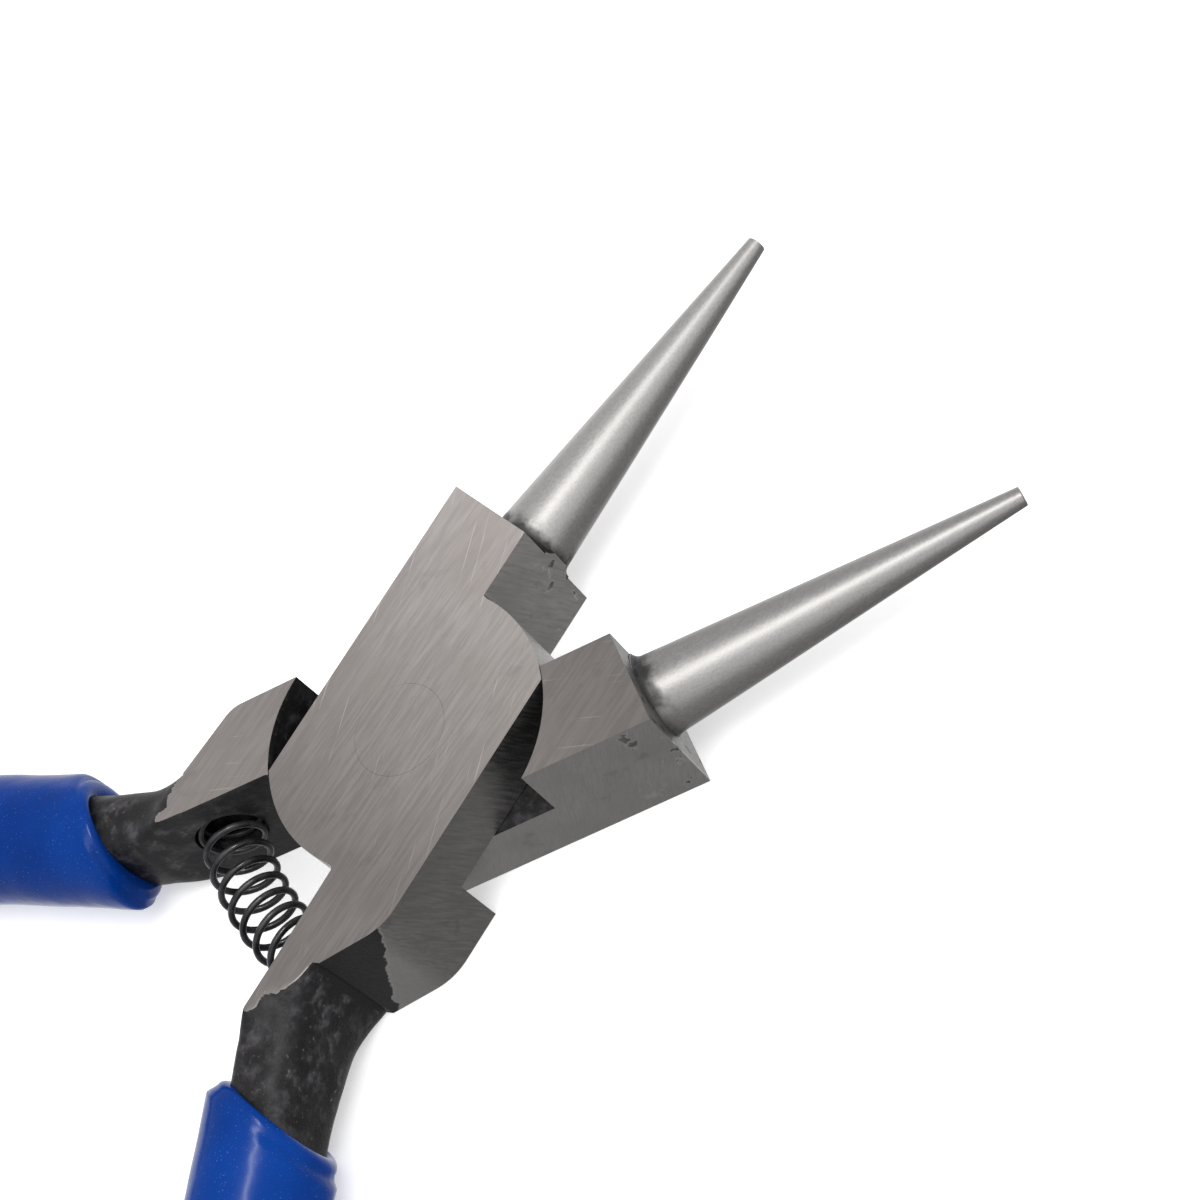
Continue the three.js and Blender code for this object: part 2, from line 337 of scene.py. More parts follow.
def shank(hand, seed):
    """The bar from inside the block to its rounded end, with the uneven skin of a forging, held down to the
    ground faces."""
    line = evenly(spline(SHANK_LINE, 24), 0.22)
    rings = shank_section(line, hand)
    closing = np.sqrt(np.clip(1 - np.linspace(0.15, 0.995, 7) ** 2, 0, 1))
    forward, _ = across(line)
    centre = np.append(line[-1], 0)
    ends = [centre + (rings[-1] - centre) * scale + np.append(forward[-1], 0) * 1.9 * reach
            for scale, reach in zip(closing, np.linspace(0.15, 0.995, 7))]
    rings = np.concatenate([rings, ends])
    points = rings.reshape(-1, 3)
    rough = 0.06 * unevenness(points, seed, 5.0) * smoothstep(-19.5, -22.5, points[:, 0])
    middle = np.repeat(np.concatenate([rings[:, :, :2].mean(axis=1), np.zeros((len(rings), 1))], axis=1),
                       SHANK_AROUND, axis=0)
    away = points - middle
    away /= np.maximum(np.linalg.norm(away, axis=1, keepdims=True), 1e-6)
    points = points + away * rough[:, None]
    points[:, 2] = np.clip(points[:, 2], -HALF_THICKNESS, HALF_THICKNESS)
    return skin("shank", points.reshape(rings.shape))


# %% [markdown]
# ## The round jaw
# The jaw is a cone, turned and then ground by hand. A lathed profile gives it: a small root fillet against the
# block, a straight taper that wanders by a few hundredths of a millimetre, and a tip cut flat. It leans so
# that its inner edge lies along the plane where the two jaws meet.

# %% The cone
CONE_START = 16.3
CONE_END = 43.9
CONE_ROOT_RADIUS = 2.95
CONE_TIP_RADIUS = 0.7
CONE_PLAY = 0.04
CONE_AROUND = 112


def cone(seed):
    """The cone as rings about its own axis: radius against distance from the root, then leaned about the root
    and lifted until its inner edge clears the middle plane by the play."""
    length = CONE_END - CONE_START
    taper = np.linspace(0, 1, 70)
    fillet_turn = np.linspace(0, math.pi / 2, 8)[:-1]
    fillet_along = 0.55 * (1 - np.cos(fillet_turn)) + 0.02
    fillet_out = 0.42 * (1 - np.sin(fillet_turn))
    along = np.concatenate(
        [[-2.0], 0.02 + fillet_along, 0.6 + taper * (length - 0.66), [length - 0.02, length]])
    even = CONE_ROOT_RADIUS + (CONE_TIP_RADIUS - CONE_ROOT_RADIUS) * np.clip(along, 0, length) / length
    out = np.concatenate([[0.42], fillet_out, np.zeros(len(taper)), [-0.03, -0.09]])
    turn = np.linspace(0, 2 * math.pi, CONE_AROUND, endpoint=False)
    radius = np.repeat((even + out)[:, None], CONE_AROUND, axis=1)
    rings = np.stack([np.repeat(along[:, None], CONE_AROUND, axis=1),
                      radius * np.cos(turn), radius * np.sin(turn)], axis=-1)
    points = rings.reshape(-1, 3)
    wander = unevenness(points * (0.35, 1, 1), seed, 9.0, 2) * 0.025 * smoothstep(0.3, 3, points[:, 0])
    points[:, 1:] *= 1 + (wander / radius.ravel())[:, None]
    lean = math.asin((CONE_ROOT_RADIUS - CONE_TIP_RADIUS) / length)
    lift = (CONE_ROOT_RADIUS + CONE_PLAY) / math.cos(lean)
    turned = points @ np.array(Matrix.Rotation(-lean, 3, "Z")).T + (CONE_START, lift, 0)
    floor_height = (JAW_FACE + 0.02) * (1 - smoothstep(CONE_START - 0.2, CONE_START + 1.6, turned[:, 0]))
    by_the_root = turned[:, 0] < CONE_START + 1.6
    turned[:, 1] = np.where(by_the_root, np.maximum(turned[:, 1], floor_height), turned[:, 1])
    return skin("cone", turned.reshape(rings.shape))


# %% [markdown]
# ## Joining and drilling a half
# The shank and the cone are joined to the block into one closed solid, as the real half is one forging. Then
# come the notch for the other plate and the blind hole that seats the spring.
# The bevel comes next, so it breaks every sharp edge at once, and its thin faces are remembered. The rivet's
# hole is drilled last: the rivet fills it and is ground flush with it, so its rim has no broken edge.

# %% The halves
RIVET_RADIUS = 2.5
RIVET_HEAD_RADIUS = 3.4
RIVET_HEAD_DEPTH = 1.2
RIVET_PLAY = 0.015
SEAT_X = -16.1
SEAT_RADIUS = 2.62
SEAT_BOTTOM = -3.5


def lathe_z(name, profile, around=96):
    """A closed mesh from a profile of radius and height, turned about the pivot's axis."""
    profile = np.array(profile, float)
    turn = np.linspace(0, 2 * math.pi, around, endpoint=False)
    rings = np.empty((len(profile), around, 3))
    rings[..., 0] = profile[:, :1] * np.cos(turn)
    rings[..., 1] = profile[:, :1] * np.sin(turn)
    rings[..., 2] = profile[:, 1:]
    return skin(name, rings)


def rivet_profile(play, reach):
    """Radius and height up the rivet: a straight shaft with a countersunk head at each face."""
    head, shaft = RIVET_HEAD_RADIUS + play, RIVET_RADIUS + play
    neck = HALF_THICKNESS - RIVET_HEAD_DEPTH
    middle = [(head, -HALF_THICKNESS), (shaft, -neck), (shaft, neck), (head, HALF_THICKNESS)]
    return [(head, -reach)] * (reach > HALF_THICKNESS) + middle + [(head, reach)] * (reach > HALF_THICKNESS)


def spring_seat():
    """A round cutter for the blind hole, square to the handle's inner face."""
    turn = np.linspace(0, 2 * math.pi, 72, endpoint=False)
    rings = np.empty((2, 72, 3))
    rings[..., 0] = SEAT_X + SEAT_RADIUS * np.cos(turn)
    rings[..., 1] = np.array([SEAT_BOTTOM, 1.0])[:, None]
    rings[..., 2] = SEAT_RADIUS * np.sin(turn)
    return skin("seat", rings)


def half(body, seed):
    """One half in its own frame, still in millimetres: block, shank and cone joined, then cut and bevelled."""
    hand = HANDS[body]
    piece = wall(body + "_steel", block_outline(hand), -HALF_THICKNESS, HALF_THICKNESS)
    combine(piece, shank(hand, seed), "UNION")
    combine(piece, notch(), "DIFFERENCE")
    combine(piece, cone(seed + 1), "UNION")
    combine(piece, spring_seat(), "DIFFERENCE")
    print(body, "has", len(piece.data.polygons), "faces before its edges are broken")
    bevel = piece.modifiers.new("break_edges", "BEVEL")
    bevel.width = EDGE_BREAK
    bevel.segments = 2
    bevel.limit_method = "ANGLE"
    bevel.angle_limit = math.radians(42)
    bevel.harden_normals = False
    piece.data.materials.clear()
    for _ in range(2):
        piece.data.materials.append(None)
    bevel.material = 1
    settle(piece)
    return combine(piece, lathe_z("hole", rivet_profile(RIVET_PLAY, 6)), "DIFFERENCE")


# %% The two halves, made
def face_data(mesh):
    """Centres, normals and material numbers of a mesh's faces, as arrays."""
    count = len(mesh.polygons)
    centres, normals = np.empty(count * 3), np.empty(count * 3)
    numbers = np.empty(count, np.int32)
    mesh.polygons.foreach_get("center", centres)
    mesh.polygons.foreach_get("normal", normals)
    mesh.polygons.foreach_get("material_index", numbers)
    return centres.reshape(-1, 3), normals.reshape(-1, 3), numbers


GROUND, CROSS, SCALE, ROUND_JAW, BROKEN = range(5)


def sort_faces(piece):
    """Chooses each face's finish from where it lies: the ground faces, the cross-ground sides, the round jaw,
    the broken edges, and the black skin for all the rest."""
    centres, normals, numbers = face_data(piece.data)
    x, y, z = centres.T
    finish = np.full(len(centres), SCALE, np.int32)
    flat = (np.abs(normals[:, 2]) > 0.98) & (np.abs(z) > HALF_THICKNESS - 0.02) & (x > -17.5)
    upright = np.abs(normals[:, 2]) < 0.2
    sides = upright & (x > -13) & ((y > JAW_SIDE - 0.05) | (y < -HANDLE_SIDE + 0.05))
    shoulder = upright & (x < -11) & (x > -16.5) & (y < -4.3)
    jaw_end = upright & (x > 10.2) & (np.hypot(x, y) > NOTCH_RADIUS + 0.05) & (x < 17.2)
    radius = np.hypot(x, y)
    plate_rim = upright & (z > 0) & ((radius < PLATE_RADIUS + 0.15) & (radius > PLATE_RADIUS - 0.2) & (x > 0)
                                     | (radius < REAR_PLATE_RADIUS + 0.1) & (x < 0) & (y > -1))
    finish[sides | shoulder | jaw_end | plate_rim] = CROSS
    finish[flat] = GROUND
    jaw = (x > CONE_START + 0.2) & (np.hypot(y - 3, z) < 3.6) & (np.abs(normals[:, 0]) < 0.97)
    finish[jaw | (x > CONE_START + 3)] = ROUND_JAW
    finish[(numbers == 1) & (finish != ROUND_JAW) & (x > -17.5)] = BROKEN
    piece.data.polygons.foreach_set("material_index", finish)
    return finish


halves = {}
for number, body in enumerate(("front_half", "back_half")):
    piece = half(body, 11 + 10 * number)
    own = vertices(piece)
    finish = sort_faces(piece)
    offset = number * np.array((61.0, 37.0, 0.0))
    store = piece.data.attributes.new("own", "FLOAT_VECTOR", "POINT")
    store.data.foreach_set("vector", own.astype(np.float32).ravel())
    grain = piece.data.attributes.new("grain", "FLOAT_VECTOR", "POINT")
    grain.data.foreach_set("vector", (own + offset).astype(np.float32).ravel())
    move_vertices(piece, placed(own, body))
    face_outwards(piece.data)
    piece.data.polygons.foreach_set("use_smooth", np.ones(len(piece.data.polygons), bool))
    piece.data.set_sharp_from_angle(angle=math.radians(35))
    weighted = piece.modifiers.new("flat_faces_stay_flat", "WEIGHTED_NORMAL")
    weighted.keep_sharp = True
    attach(piece, body)
    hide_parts(body)
    halves[body] = piece
    print(piece.name, len(piece.data.polygons), "faces; of each finish", np.bincount(finish, minlength=5))

# %% [markdown]
# ## The rivet
# The rivet is headed into a countersink at each face and ground flush, so all it shows is a hairline ring. It
# is a lathed profile: a straight shaft between two countersunk heads.

# %% The rivet
rivet = lathe_z("rivet_pin", [
    (0.05, -5), (3.4, -5), (2.49, -3.79), (2.49, 3.79), (3.4, 5), (0.05, 5),
])
rivet_own = vertices(rivet)
store = rivet.data.attributes.new("own", "FLOAT_VECTOR", "POINT")
store.data.foreach_set("vector", rivet_own.astype(np.float32).ravel())
grain = rivet.data.attributes.new("grain", "FLOAT_VECTOR", "POINT")
grain.data.foreach_set("vector", rivet_own.astype(np.float32).ravel())
move_vertices(rivet, placed(rivet_own, "front_half"))
face_outwards(rivet.data)
rivet.data.polygons.foreach_set("use_smooth", np.ones(len(rivet.data.polygons), bool))
rivet.data.set_sharp_from_angle(angle=math.radians(35))
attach(rivet, "front_half")
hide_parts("rivet")

# %% [markdown]
# ## The return spring
# The spring is one round wire wound on a line that leaves each seat square to the handle and bows back between
# them. A coil is a point that circles that line as it moves along it, so the wire is a circle carried along
# that path. The wire's direction changes all the way, and the circle's own axes are taken from the coil's
# centre, which keeps it from twisting. The spring is drawn once, between the halves as they are placed, and
# is attached to neither half. Fully closed, some turns run into each other and into the handles.

# %% The spring
INNER_FACE = 1.5
SEAT_DEPTH = 2
COIL_RADIUS = 2.2
WIRE_RADIUS = 0.25
SPRING_TURNS = 11.5
END_CLEARANCE = 0.1
STEPS_PER_TURN = 56
WIRE_AROUND = 14


def spring_line():
    """Points on the coil's middle line in the shared frame's millimetres about the pivot: a cubic curve square
    to both handles."""
    depth = INNER_FACE + SEAT_DEPTH - WIRE_RADIUS - END_CLEARANCE
    turn = np.array(PLACES["front_half"].to_3x3())
    start = turn @ (SEAT_X, -depth, 0)
    outward = turn @ (0, 1, 0)
    end = start * (1, -1, 1)
    reach = (end[1] - start[1]) / 3 / math.cos(OPEN_ANGLE / 2)
    handle = start + outward * reach
    t = np.linspace(0, 1, 400)[:, None]
    leaving = (1 - t) ** 3 * start + 3 * t * (1 - t) ** 2 * handle
    return leaving + 3 * t**2 * (1 - t) * handle * (1, -1, 1) + t**3 * end


def spring_wire():
    """The wire as rings: progress along the line rises slowly in the closed end turns and evenly between."""
    line = spring_line()
    steps = np.linalg.norm(np.diff(line, axis=0), axis=1)
    along = np.concatenate([[0], np.cumsum(steps)])
    turns = np.linspace(0, SPRING_TURNS, int(SPRING_TURNS * STEPS_PER_TURN) + 1)
    closed = 2 * WIRE_RADIUS + END_CLEARANCE
    pitch = (along[-1] - 2 * closed) / (SPRING_TURNS - 2)
    open_turns = np.clip(turns - 1, 0, SPRING_TURNS - 2)
    at = (turns - open_turns) * closed + open_turns * pitch
    centre = np.stack([np.interp(at, along, line[:, k]) for k in range(3)], axis=1)
    slope = np.gradient(line, along, axis=0)
    forward = np.stack([np.interp(at, along, slope[:, k]) for k in range(3)], axis=1)
    forward /= np.linalg.norm(forward, axis=1, keepdims=True)
    left = np.stack([-forward[:, 1], forward[:, 0], np.zeros(len(at))], axis=1)
    angle = 2 * math.pi * turns[:, None]
    outward = left * np.cos(angle) + np.array((0, 0, 1)) * np.sin(angle)
    path = centre + COIL_RADIUS * outward
    tangent = np.gradient(path, axis=0)
    tangent /= np.linalg.norm(tangent, axis=1, keepdims=True)
    second = np.cross(tangent, outward)
    second /= np.linalg.norm(second, axis=1, keepdims=True)
    first = np.cross(second, tangent)
    turn = np.linspace(0, 2 * math.pi, WIRE_AROUND, endpoint=False)
    circle = first[:, None] * np.cos(turn)[:, None] + second[:, None] * np.sin(turn)[:, None]
    return path[:, None] + WIRE_RADIUS * circle


spring = skin("return_spring_wire", spring_wire())
spring_points = vertices(spring)
store = spring.data.attributes.new("own", "FLOAT_VECTOR", "POINT")
store.data.foreach_set("vector", spring_points.astype(np.float32).ravel())
move_vertices(spring, (spring_points + PIVOT) * MM)
spring.data.polygons.foreach_set("use_smooth", np.ones(len(spring.data.polygons), bool))
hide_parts("return_spring")
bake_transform(spring)
print("The spring has", SPRING_TURNS, "turns and", len(spring.data.polygons), "faces")

# %% [markdown]
# ## The grips
# The grips are made by dipping the handles in liquid plastic. The coat is an even oval all the way, closed by
# a round end, and its lip is a thick soft roll where the bath's surface stood. The surface is one stack of
# oval rings: up the inner wall, over the roll, back along the outside and round the end.

# %% The grips
GRIPS = {
    "front_half": {"lip": -26.4, "inner": 4.95, "outer": 4.3},
    "back_half": {"lip": -25.2, "inner": 4.85, "outer": 4.65},
}
GRIP_HALF_HEIGHT = 4.95
GRIP_WALL = 1.35
GRIP_BORE = (2.85, 4.05)
GRIP_TIP = 4.2
LIP_SLANT = 0.11
GRIP_AROUND = 128


def oval(line, inner, outer, height, lip):
    """Rings of an oval section along the line, which may be wider on one side. Near the lip each ring is
    sheared along the line, until the lip itself lies in a plane nearly square to the tool."""
    turn = np.linspace(0, 2 * math.pi, GRIP_AROUND, endpoint=False)[None, :]
    forward, left = across(line)
    side = np.cos(turn)
    middle = ((outer - inner) / 2)[:, None]
    offset = middle + ((outer + inner) / 2)[:, None] * side
    tilt = (left[:, 0] / forward[:, 0] - LIP_SLANT) * (1 - smoothstep(0, 14, lip - line[:, 0]))
    rings = np.empty((len(line), GRIP_AROUND, 3))
    rings[..., :2] = line[:, None] + left[:, None] * offset[..., None]
    rings[..., :2] -= forward[:, None] * (tilt[:, None] * offset)[..., None]
    rings[..., 2] = height[:, None] * np.sin(turn)
    return rings


def grip(name, body, seed):
    """The coat as one closed stack of rings, from its inner end out over the lip and back to its round tip."""
    coat = GRIPS[body]
    lip = coat["lip"]
    line = evenly(spline(SHANK_LINE, 24), 0.4)
    line = line[line[:, 0] < lip]
    line = np.concatenate([[np.array([lip, np.interp(lip, line[::-1, 0], line[::-1, 1])])], line])
    roll = np.linspace(0, math.pi, 13)
    size = len(line)
    bead = 0.15 * np.exp(-((lip - line[:, 0]) / 2.2) ** 2)
    outer = oval(line, coat["inner"] + bead, coat["outer"] + bead, np.full(size, GRIP_HALF_HEIGHT), lip)
    width, height = (np.full(size, value) for value in GRIP_BORE)
    inner = oval(line, width, width, height, lip)
    forward, _ = across(line)
    ahead = np.append(forward[0], 0)
    share = ((1 - np.cos(roll)) / 2)[:, None, None]
    lip_rings = inner[0] + (outer[0] - inner[0]) * share - ahead * (np.sin(roll) * GRIP_WALL / 2)[:, None, None]
    dome = np.linspace(0, math.pi / 2, 16)[1:-1]
    centre = np.append(line[-1], 0)
    ending = np.append(forward[-1], 0)
    tip = centre + (outer[-1] - centre) * np.cos(dome)[:, None, None]
    tip = tip + ending * (GRIP_TIP * np.sin(dome))[:, None, None]
    inner_tip = centre + (inner[-1] - centre) * 0.5 + ending * 2.1
    rings = np.concatenate([[inner_tip], inner[::-1], lip_rings[1:-1], outer, tip])
    points = rings.reshape(-1, 3)
    middle = np.repeat(rings.mean(axis=1), GRIP_AROUND, axis=0)
    away = points - middle
    away /= np.maximum(np.linalg.norm(away, axis=1, keepdims=True), 1e-6)
    points = points + away * (0.05 * unevenness(points, seed, 14.0, 2))[:, None]
    points[:, 2] = np.clip(points[:, 2], -HALF_THICKNESS, HALF_THICKNESS)
    piece = skin(name, points.reshape(rings.shape))
    store = piece.data.attributes.new("own", "FLOAT_VECTOR", "POINT")
    store.data.foreach_set("vector", points.astype(np.float32).ravel())
    move_vertices(piece, placed(points, body))
    face_outwards(piece.data)
    piece.data.polygons.foreach_set("use_smooth", np.ones(len(piece.data.polygons), bool))
    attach(piece, body)
    print(name, "has", len(piece.data.polygons), "faces")
    return piece


front_grip = grip("front_handle_grip", "front_half", 41)
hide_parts("front_grip")
back_grip = grip("back_handle_grip", "back_half", 42)
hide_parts("back_grip")

# %% [markdown]
# ## Finishes
# Each finish is built from the same few effects: streaks that a grinding belt leaves, slow cloudy stains, and
# sparse scratches. Each effect is a node group that reads a place in millimetres, so its size on the steel is a
# real size. The places come from an attribute that was stored in the drawing's own frame, so the streaks
# follow each half when it turns.

# %% Node helpers
def put(tree, kind, sockets=None, **settings):
    """Adds a shader node, sets its options and fills its inputs: a value is set, an output is linked."""
    node = tree.nodes.new("ShaderNode" + kind)
    for key, value in settings.items():
        setattr(node, key, value)
    for key, value in (sockets or {}).items():
        if isinstance(value, bpy.types.NodeSocket):
            tree.links.new(value, node.inputs[key])
        else:
            node.inputs[key].default_value = value
    return node


def calc(tree, operation, *values, clamp=False):
    """A math node's output."""
    return put(tree, "Math", dict(enumerate(values)), operation=operation, use_clamp=clamp).outputs[0]


def stretch(tree, value, low, high, to_low=0.0, to_high=1.0):
    """A value taken smoothly from one range to another, and held inside it."""
    sockets = {"Value": value, "From Min": low, "From Max": high, "To Min": to_low, "To Max": to_high}
    return put(tree, "MapRange", sockets, interpolation_type="SMOOTHSTEP").outputs["Result"]


def blend_colours(tree, share, first, second, kind="MIX"):
    """Two colours mixed by a share: each is a colour or another node's output."""
    node = put(tree, "Mix", data_type="RGBA", blend_type=kind)
    for key, value in ((0, share), (6, first), (7, second)):
        if isinstance(value, bpy.types.NodeSocket):
            tree.links.new(value, node.inputs[key])
        else:
            node.inputs[key].default_value = value if key == 0 else (*value, 1)
    return node.outputs[2]


def new_group(name, inputs, outputs):
    """An empty node group with named sockets, and its two end nodes."""
    tree = bpy.data.node_groups.new(name, "ShaderNodeTree")
    for label, kind, value in inputs:
        socket = tree.interface.new_socket(label, in_out="INPUT", socket_type="NodeSocket" + kind)
        if value is not None:
            socket.default_value = value
    for label, kind in outputs:
        tree.interface.new_socket(label, in_out="OUTPUT", socket_type="NodeSocket" + kind)
    return tree, tree.nodes.new("NodeGroupInput"), tree.nodes.new("NodeGroupOutput")


def use_group(tree, group, sockets):
    """Places a node group in a material and fills its inputs."""
    node = tree.nodes.new("ShaderNodeGroup")
    node.node_tree = group
    for key, value in sockets.items():
        if isinstance(value, bpy.types.NodeSocket):
            tree.links.new(value, node.inputs[key])
        else:
            node.inputs[key].default_value = value
    return node


# %% Effect: grinding streaks
def make_streaks():
    """Streaks: noise in a place that is turned, then squeezed along one direction, at two widths."""
    tree, start, end = new_group(
        "grinding_streaks",
        [("Place", "Vector", None), ("Turn", "Vector", (0, 0, 0)), ("Squeeze", "Vector", (0.5, 6, 6))],
        [("Streak", "Float"), ("Fine", "Float")],
    )
    turned = put(tree, "Mapping", {"Vector": start.outputs["Place"], "Rotation": start.outputs["Turn"]})
    squeezed = put(tree, "VectorMath", {0: turned.outputs[0], 1: start.outputs["Squeeze"]},
                   operation="MULTIPLY")
    wide = put(tree, "TexNoise", {"Vector": squeezed.outputs[0], "Scale": 1.0, "Detail": 3.0, "Roughness": 0.6})
    thin = put(tree, "TexNoise", {"Vector": squeezed.outputs[0], "Scale": 3.1, "Detail": 2.0, "Roughness": 0.5})
    tree.links.new(stretch(tree, wide.outputs[0], 0.3, 0.7), end.inputs["Streak"])
    tree.links.new(stretch(tree, thin.outputs[0], 0.3, 0.7), end.inputs["Fine"])
    return tree


# %% Effect: cloudy stains and scratches
def make_clouds():
    """Clouds: slow noise for stains, and a faster one, cut off high, for small dark smudges."""
    tree, start, end = new_group(
        "stains",
        [("Place", "Vector", None), ("Size", "Float", 5.0)],
        [("Cloud", "Float"), ("Smudge", "Float"), ("Speck", "Float")],
    )
    scale = calc(tree, "DIVIDE", 1.0, start.outputs["Size"])
    slow = put(tree, "TexNoise", {"Vector": start.outputs["Place"], "Scale": scale, "Detail": 3.0})
    quick = calc(tree, "MULTIPLY", scale, 3.3)
    fast = put(tree, "TexNoise", {"Vector": start.outputs["Place"], "Scale": quick, "Detail": 4.0})
    fine = calc(tree, "MULTIPLY", scale, 21.0)
    speck = put(tree, "TexNoise", {"Vector": start.outputs["Place"], "Scale": fine, "Detail": 2.0})
    tree.links.new(stretch(tree, slow.outputs[0], 0.35, 0.68), end.inputs["Cloud"])
    tree.links.new(stretch(tree, fast.outputs[0], 0.62, 0.74), end.inputs["Smudge"])
    tree.links.new(stretch(tree, speck.outputs[0], 0.66, 0.74), end.inputs["Speck"])
    return tree


def make_scratches():
    """Sparse straight scratches: the highest crests of a noise squeezed into hairlines, kept only where a
    second, slow noise is high."""
    tree, start, end = new_group(
        "sparse_scratches",
        [("Place", "Vector", None), ("Turn", "Vector", (0, 0, 0)), ("Width", "Float", 1.0)],
        [("Scratch", "Float")],
    )
    turned = put(tree, "Mapping", {"Vector": start.outputs["Place"], "Rotation": start.outputs["Turn"]})
    squeezed = put(tree, "VectorMath", {0: turned.outputs[0], 1: (0.22, 8.0, 8.0)}, operation="MULTIPLY")
    scale = calc(tree, "DIVIDE", 1.0, start.outputs["Width"])
    line = put(tree, "TexNoise", {"Vector": squeezed.outputs[0], "Scale": scale, "Detail": 0.0})
    thin = stretch(tree, line.outputs[0], 0.73, 0.79)
    where = put(tree, "TexNoise", {"Vector": start.outputs["Place"], "Scale": 0.3, "Detail": 1.0})
    patchy = calc(tree, "MULTIPLY", thin, stretch(tree, where.outputs[0], 0.45, 0.6))
    tree.links.new(patchy, end.inputs["Scratch"])
    return tree


STREAKS, CLOUDS, SCRATCHES = make_streaks(), make_clouds(), make_scratches()


def new_material(name, **constants):
    """A material with one Principled shader, whose constant sockets are set directly, and its tree."""
    material = bpy.data.materials.new(name)
    material.use_nodes = True
    tree = material.node_tree
    shader = tree.nodes["Principled BSDF"]
    for key, value in constants.items():
        shader.inputs[key.replace("_", " ")].default_value = value
    return material, tree, shader


def own_place(tree, name="own"):
    """The stored place of a point, in millimetres."""
    return put(tree, "Attribute", attribute_name=name, attribute_type="GEOMETRY").outputs["Vector"]


def bump(tree, shader, height, distance, strength=1.0):
    """Feeds a height, in units of the given distance in metres, to the shader's normal."""
    node = put(tree, "Bump", {"Height": height, "Distance": distance, "Strength": strength})
    tree.links.new(node.outputs[0], shader.inputs["Normal"])


# %% [markdown]
# ## Ground steel
# The flat faces are ground along the tool on a belt. Short streaks run lengthwise, the colour drifts a little
# with the grinding, and there are a few smudges, scratches and a faint straw stain. Painted light is laid over
# it: each half's faces are scaled lighter or darker from the handle to the jaw, as light falls on them. The
# same finish shows wherever the rough forging was high enough for the belt, so it is a group that two materials
# share.

# %% Ground steel
GRAIN_TURN = {"front_half": (0, 0, 0.03), "back_half": (0, 0, 0.66)}
# Painted light: factors that make each half's ground faces lighter or darker from the handle to the jaw, as
# light falls on them.
HANDLE_PAINTED_LIGHT = {"front_half": 0.8, "back_half": 1.06}
JAW_PAINTED_LIGHT = {"front_half": 1.72, "back_half": 0.72}
# Painted light: the jaw's end on each half is made lighter or darker, as light falls on it.
JAW_END_PAINTED_LIGHT = {"front_half": 1.75, "back_half": 0.7}


def scaled(tree, colour, factor):
    """A colour times a number."""
    grey = put(tree, "CombineXYZ", {0: factor, 1: factor, 2: factor})
    return blend_colours(tree, 1.0, colour, grey.outputs[0], "MULTIPLY")


def make_ground_finish():
    """The ground face's colour, roughness and height from a place; the colour is scaled by painted light."""
    tree, start, end = new_group(
        "ground_face_finish",
        [("Place", "Vector", None), ("Own", "Vector", None), ("Turn", "Vector", (0, 0, 0)),
         ("Handle Painted Light", "Float", 1.0), ("Jaw Painted Light", "Float", 1.0)],
        [("Colour", "Color"), ("Roughness", "Float"), ("Height", "Float")],
    )
    place, turn = start.outputs["Place"], start.outputs["Turn"]
    streak = use_group(tree, STREAKS, {"Place": place, "Turn": turn, "Squeeze": (0.3, 4.5, 4.5)})
    hair = use_group(tree, STREAKS, {"Place": place, "Turn": turn, "Squeeze": (0.9, 14.0, 14.0)})
    cloud = use_group(tree, CLOUDS, {"Place": place, "Size": 6.5})
    scratch = use_group(tree, SCRATCHES, {"Place": place, "Turn": (0, 0, -0.35), "Width": 1.3})
    colour = blend_colours(tree, streak.outputs["Streak"], (0.37, 0.342, 0.33), (0.46, 0.427, 0.412))
    colour = blend_colours(tree, calc(tree, "MULTIPLY", hair.outputs["Streak"], 0.4), colour,
                           (0.50, 0.466, 0.45))
    stain = calc(tree, "MULTIPLY", cloud.outputs["Cloud"], 0.55)
    colour = blend_colours(tree, stain, colour, (0.40, 0.362, 0.335))
    smudge = calc(tree, "MULTIPLY", cloud.outputs["Smudge"], 0.16)
    colour = blend_colours(tree, smudge, colour, (0.16, 0.15, 0.145))
    light = calc(tree, "MULTIPLY", scratch.outputs["Scratch"], 0.45)
    colour = blend_colours(tree, light, colour, (0.75, 0.73, 0.71))
    # Painted light: the colour is scaled from the handle's factor to the jaw's along the half.
    along = put(tree, "SeparateXYZ", {"Vector": start.outputs["Own"]}).outputs["X"]
    painted_light = put(tree, "MapRange", {"Value": along, "From Min": -9.0, "From Max": 17.0,
                                  "To Min": start.outputs["Handle Painted Light"], "To Max": start.outputs["Jaw Painted Light"]})
    rough = stretch(tree, streak.outputs["Streak"], 0.0, 1.0, 0.36, 0.46)
    height = calc(tree, "ADD", streak.outputs["Streak"], hair.outputs["Streak"])
    tree.links.new(scaled(tree, colour, painted_light.outputs["Result"]), end.inputs["Colour"])
    tree.links.new(rough, end.inputs["Roughness"])
    tree.links.new(calc(tree, "SUBTRACT", height, light), end.inputs["Height"])
    return tree


GROUND_FINISH = make_ground_finish()


def use_ground_finish(tree, body):
    """The ground finish as one half has it: its grain's direction and its painted light from handle to jaw."""
    return use_group(tree, GROUND_FINISH, {
        "Place": own_place(tree, "grain"), "Own": own_place(tree), "Turn": GRAIN_TURN[body],
        "Handle Painted Light": HANDLE_PAINTED_LIGHT[body], "Jaw Painted Light": JAW_PAINTED_LIGHT[body],
    })


def ground_face(body):
    """Flat faces ground lengthwise on the front half and aslant on the back half."""
    material, tree, shader = new_material(body + "_ground_face", Metallic=1.0)
    finish = use_ground_finish(tree, body)
    tree.links.new(finish.outputs["Colour"], shader.inputs["Base Color"])
    tree.links.new(finish.outputs["Roughness"], shader.inputs["Roughness"])
    bump(tree, shader, finish.outputs["Height"], 2e-6)
    return material


# The slanted wall behind the shoulder, along x: where it starts, at the waist, and how long it is.
WALL_START = -15.9
WALL_LENGTH = 4.1


